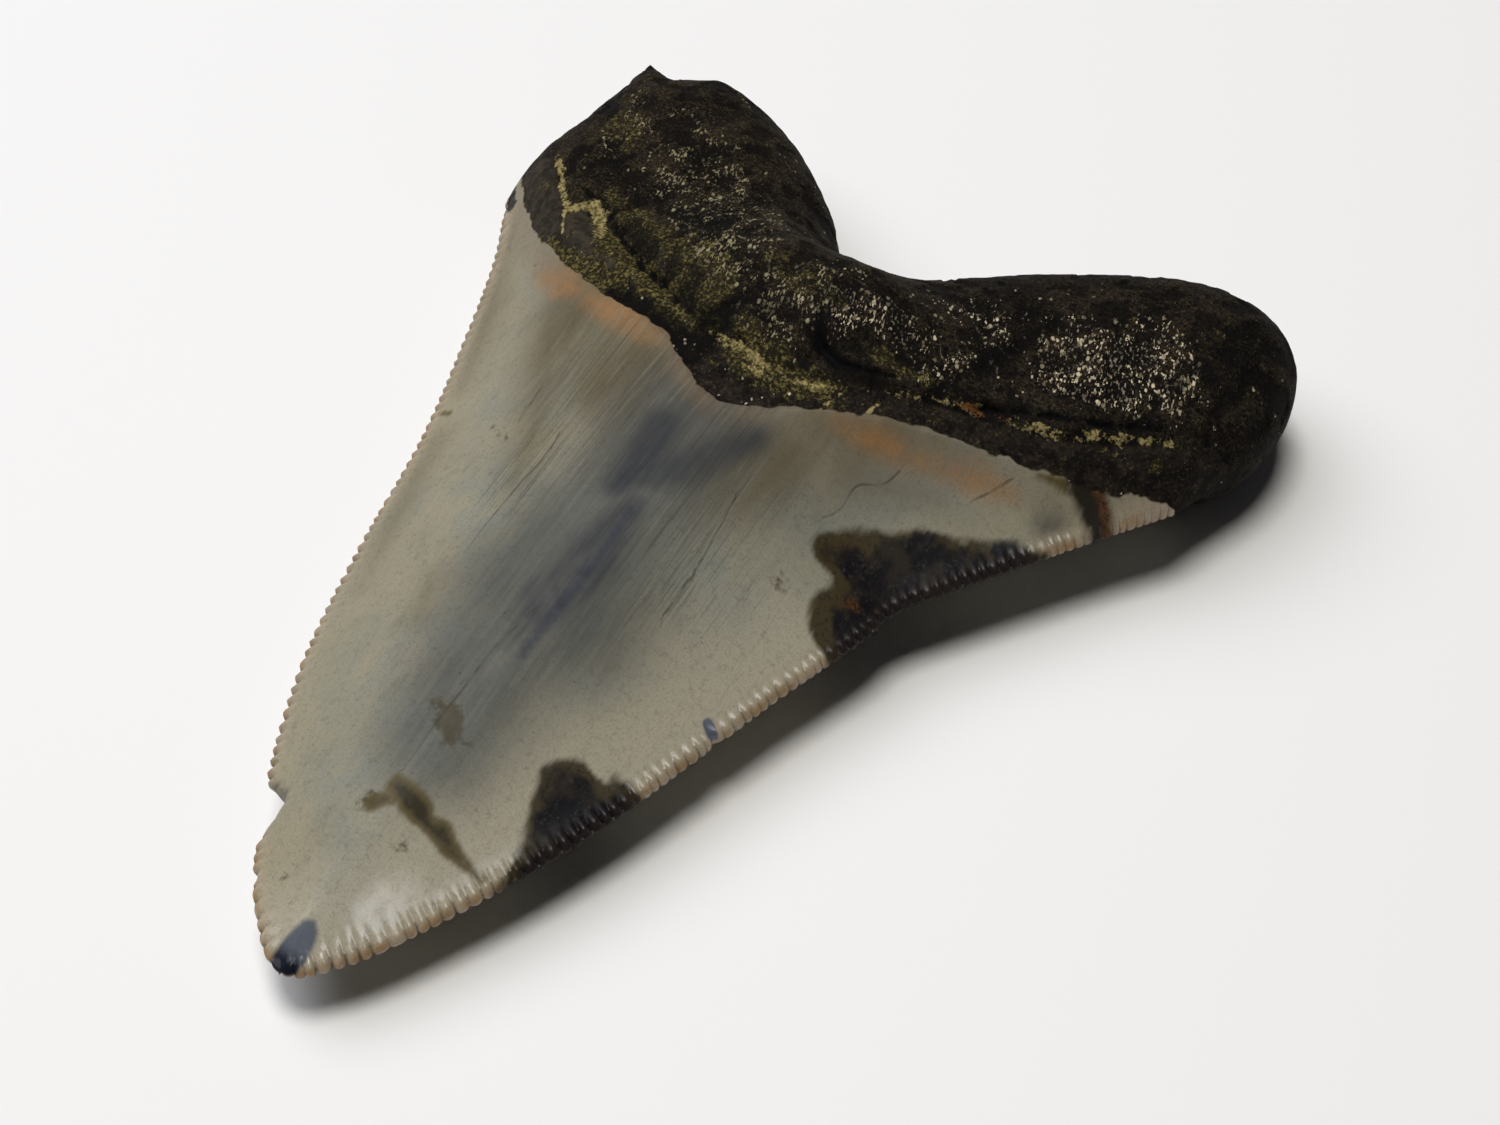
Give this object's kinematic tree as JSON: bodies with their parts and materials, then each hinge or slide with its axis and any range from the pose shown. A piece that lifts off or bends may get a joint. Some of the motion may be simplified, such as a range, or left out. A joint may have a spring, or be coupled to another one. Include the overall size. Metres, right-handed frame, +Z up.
{
  "type": "megalodon tooth",
  "caption": "Fossil shark tooth lying on its labial face: a triangular serrated crown under a two-lobed root.",
  "frame": {"origin": "middle of the tooth's box, on the surface that it lies on", "axes": "+Y from the tip to the root, +Z up out of the lingual face, +X to the right when the root is at the top"},
  "size_m": [0.0662, 0.0884, 0.0199],
  "materials": {
    "fossil": "satin"
  },
  "bodies": {
    "root": {"tooth": "fossil"}
  },
  "joints": []
}
